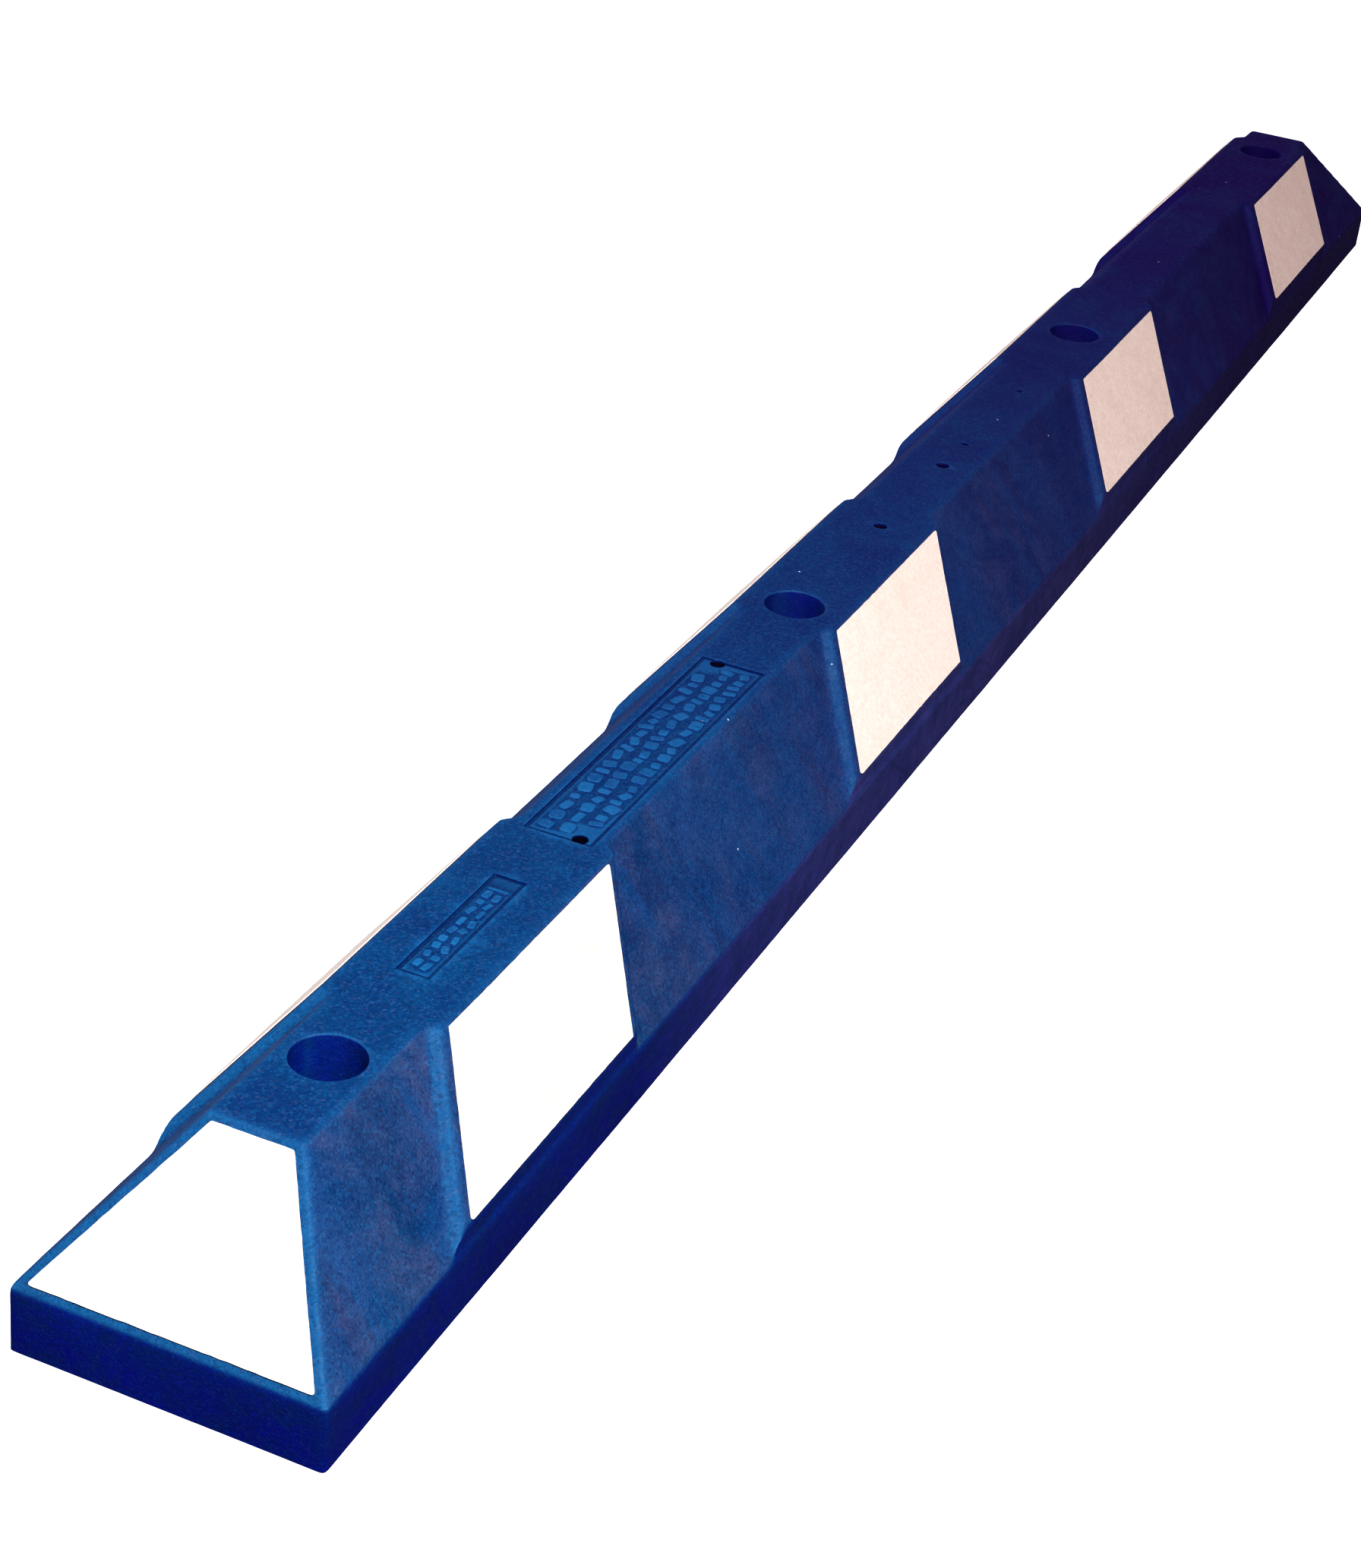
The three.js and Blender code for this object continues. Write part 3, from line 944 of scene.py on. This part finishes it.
def rubber_material():
    n = Nodes("crumb_rubber_blue")
    place = n.parts(n.place())
    normal = n.parts(n.add("ShaderNodeTexCoord").outputs["Normal"])
    along = n.math("MULTIPLY_ADD", place[0], 0.5, 0.5)
    # Faces that look up get a duller, lighter blue; the upright sides' darker, more saturated blue is
    # painted shade
    facing_up = n.ramp(normal[2], [(0.0, 0.0), (0.15, 0.0), (0.6, 1.0)])
    upper = n.mix(n.ramp(n.noise(9, 5, 0.6, 0.8), [(0.35, 0.0), (0.68, 1.0)]), BLUE, DEEP)
    color = n.mix(facing_up, side_tones(n, place, along), upper)
    color = slope_tones(n, color, normal, facing_up)
    # The pads' walls that look towards the near end, and the end slope, are painted paler: painted light
    # on the faces turned to the near end, where the light falls
    near_painted_light = n.ramp(n.math("MULTIPLY", normal[0], -1), [(0.25, 0.0), (0.6, 0.36)])
    color = n.mix(n.math("MULTIPLY", near_painted_light, facing_up), color, PALE)
    crumb = n.crumbs(820)
    color = crumb_tones(n, color, crumb, facing_up)
    # Edges are worn paler
    edge = n.ramp(n.add("ShaderNodeNewGeometry").outputs["Pointiness"], [(0.5, 0.0), (0.56, 1.0)])
    edge = n.math("MULTIPLY", edge, facing_up)
    color = n.mix(n.math("MULTIPLY", edge, 0.42), color, PALE)
    color = frame_tones(n, color, place)
    # Painted shade inside the small holes
    color = hole_painted_shade(n, color, place)
    # Painted shade: the far half darker and more purple
    color = far_painted_shade(n, color, along)
    n.link(white_crumbs(n, color), n.shader.inputs["Base Color"])
    n.link(n.ramp(n.noise(240, 3, 0.6), [(0.3, 0.5), (0.7, 0.78)]), n.shader.inputs["Roughness"])
    n.shader.inputs["Specular IOR Level"].default_value = 0.15
    height = n.math("MULTIPLY_ADD", crumb.outputs["Distance"], -0.6, 0.5)
    height = n.math("ADD", height, n.noise(520, 4, 0.65))
    fine = n.bump(height, 0.42, 0.0006)
    n.link(n.bump(n.noise(90, 4, 0.6), 0.35, 0.0009, fine), n.shader.inputs["Normal"])
    return n.material


def film_material():
    n = Nodes("reflective_film")
    color = n.mix(n.ramp(n.noise(420, 3, 0.6), [(0.35, 0.0), (0.7, 1.0)]), FILM, FILM_WORN)
    smudge = n.ramp(n.noise(22, 6, 0.7, 0.6), [(0.5, 0.0), (0.78, 1.0)])
    color = n.mix(n.math("MULTIPLY", smudge, 0.45), color, FILM_SMUDGE)
    # The sheets are painted pinker towards the far end, as painted shade where the light falls off, and
    # their mottling grows with it
    along = n.math("MULTIPLY_ADD", n.parts(n.place())[0], 0.5, 0.5)
    film_far_shade = n.ramp(along, [(0.2, 0.05), (0.42, 0.1), (0.58, 0.38), (0.9, 0.58)])
    color = n.mix(film_far_shade, color, FILM_FAR_SHADE, "MULTIPLY")
    mottled = n.ramp(n.noise(110, 4, 0.65), [(0.42, 0.0), (0.66, 0.45)])
    color = n.mix(n.math("MULTIPLY", mottled, film_far_shade), color, FILM_MOTTLE, "MULTIPLY")
    grit = n.ramp(n.crumbs(260).outputs["Distance"], [(0.0, 1.0), (0.07, 0.0)])
    color = n.mix(n.math("MULTIPLY", grit, 0.55), color, FILM_GRIT)
    n.link(color, n.shader.inputs["Base Color"])
    n.link(n.ramp(n.noise(150, 3, 0.5), [(0.3, 0.3), (0.7, 0.5)]), n.shader.inputs["Roughness"])
    n.shader.inputs["Coat Weight"].default_value = 0.25
    n.shader.inputs["Coat Roughness"].default_value = 0.25
    beads = n.crumbs(1500).outputs["Distance"]
    fine = n.bump(beads, 0.12, 0.0002)
    n.link(n.bump(n.noise(45, 3, 0.5), 0.2, 0.0006, fine), n.shader.inputs["Normal"])
    return n.material


def zinc_material():
    n = Nodes("zinc_plated_steel")
    color = n.mix(n.ramp(n.noise(60, 5, 0.6), [(0.35, 0.0), (0.7, 1.0)]), ZINC, ZINC_DULL)
    rust = n.ramp(n.noise(140, 5, 0.7), [(0.62, 0.0), (0.74, 1.0)])
    color = n.mix(n.math("MULTIPLY", rust, 0.35), color, RUST)
    n.link(color, n.shader.inputs["Base Color"])
    n.shader.inputs["Metallic"].default_value = 1.0
    n.link(n.ramp(n.noise(300, 4, 0.6), [(0.3, 0.28), (0.7, 0.5)]), n.shader.inputs["Roughness"])
    n.link(n.bump(n.noise(700, 3, 0.6), 0.2, 0.0002), n.shader.inputs["Normal"])
    return n.material


def floor_material():
    n = Nodes("pale_floor")
    n.shader.inputs["Base Color"].default_value = (0.3, 0.3, 0.3, 1)
    n.shader.inputs["Roughness"].default_value = 0.9
    n.shader.inputs["Specular IOR Level"].default_value = 0.1
    n.shader.inputs["Emission Color"].default_value = WHITE
    n.shader.inputs["Emission Strength"].default_value = 0.8
    return n.material


# ---------- camera, light and floor ----------

def camera():
    """The photograph's viewpoint, found by fitting a pinhole camera to it."""
    forward = Vector((
        math.cos(CAMERA_FALL) * math.cos(CAMERA_AZIMUTH),
        math.cos(CAMERA_FALL) * math.sin(CAMERA_AZIMUTH),
        -math.sin(CAMERA_FALL),
    ))
    level = forward.cross(Vector((0, 0, 1))).normalized()
    upright = level.cross(forward)
    right = level * math.cos(CAMERA_ROLL) + upright * math.sin(CAMERA_ROLL)
    up = upright * math.cos(CAMERA_ROLL) - level * math.sin(CAMERA_ROLL)
    data = bpy.data.cameras.new("camera")
    data.sensor_width = SENSOR
    data.lens = FOCAL_LENGTH / IMAGE_HEIGHT * SENSOR
    data.clip_start = 0.05
    data.clip_end = 100
    made = new_object("camera", data)
    turn = Matrix((right, up, -forward)).transposed().to_4x4()
    made.matrix_world = Matrix.Translation(Vector(CAMERA_PLACE)) @ turn
    scene.camera = made


def area_light(name, place, target, size, power, color):
    data = bpy.data.lights.new(name, "AREA")
    data.shape = "DISK"
    data.size = size
    data.energy = power
    data.color = color
    made = new_object(name, data)
    made.location = place
    made.rotation_mode = "QUATERNION"
    made.rotation_quaternion = (Vector(target) - Vector(place)).to_track_quat("-Z", "Y")
    return made


def floor():
    """A white floor that the camera sees and that sends no light to the object."""
    bpy.ops.mesh.primitive_plane_add(size=FLOOR_SIZE, location=(0, 0, -FLOOR_DROP))
    made = bpy.context.active_object
    made.name = "floor"
    made.data.materials.append(floor_material())
    made.visible_diffuse = False
    made.visible_glossy = False


def surroundings():
    """A faint, warm fill light from all round, with a white backdrop for the camera alone."""
    world = bpy.data.worlds.new("studio")
    world.use_nodes = True
    tree = world.node_tree
    fill = tree.nodes["Background"]
    fill.inputs["Color"].default_value = FILL_COLOR
    fill.inputs["Strength"].default_value = FILL
    seen = tree.nodes.new("ShaderNodeBackground")
    seen.inputs["Color"].default_value = WHITE
    seen.inputs["Strength"].default_value = BACKDROP
    path = tree.nodes.new("ShaderNodeLightPath")
    choose = tree.nodes.new("ShaderNodeMixShader")
    tree.links.new(path.outputs["Is Camera Ray"], choose.inputs[0])
    tree.links.new(fill.outputs[0], choose.inputs[1])
    tree.links.new(seen.outputs[0], choose.inputs[2])
    tree.links.new(choose.outputs[0], tree.nodes["World Output"].inputs["Surface"])
    scene.world = world


def studio():
    floor()
    surroundings()
    area_light("key", KEY_PLACE, KEY_TARGET, KEY_SIZE, KEY_POWER, KEY_COLOR)
    back = area_light("back", BACK_PLACE, BACK_TARGET, BACK_SIZE, BACK_POWER, BACK_COLOR)
    end = area_light("end", END_PLACE, END_TARGET, END_SIZE, END_POWER, BACK_COLOR)
    # These two stand opposite the camera, where they would put a haze on the flat top
    back.visible_glossy = False
    end.visible_glossy = False
    scene.view_settings.view_transform = "Standard"
    scene.view_settings.look = LOOK


# ---------- assembly ----------

camera()
studio()

rubber = rubber_material()
film = film_material()
zinc = zinc_material()

body = rubber_body()
body.data.materials.clear()
body.data.materials.append(rubber)
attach(body, "root")
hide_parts("rubber_body")

sheet_nodes = sorted(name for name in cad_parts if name.startswith("reflector_"))
for index, name in enumerate(sheet_nodes):
    piece = sheet_piece(name, index + FIRST_SHEET_SEED)
    piece.data.materials.append(film)
    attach(piece, "root")
    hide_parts(name)

for name in sorted(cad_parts):
    if name.startswith("anchor_washer_"):
        piece = washer_piece(name)
        piece.data.materials.append(zinc)
        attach(piece, "root")
        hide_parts(name)
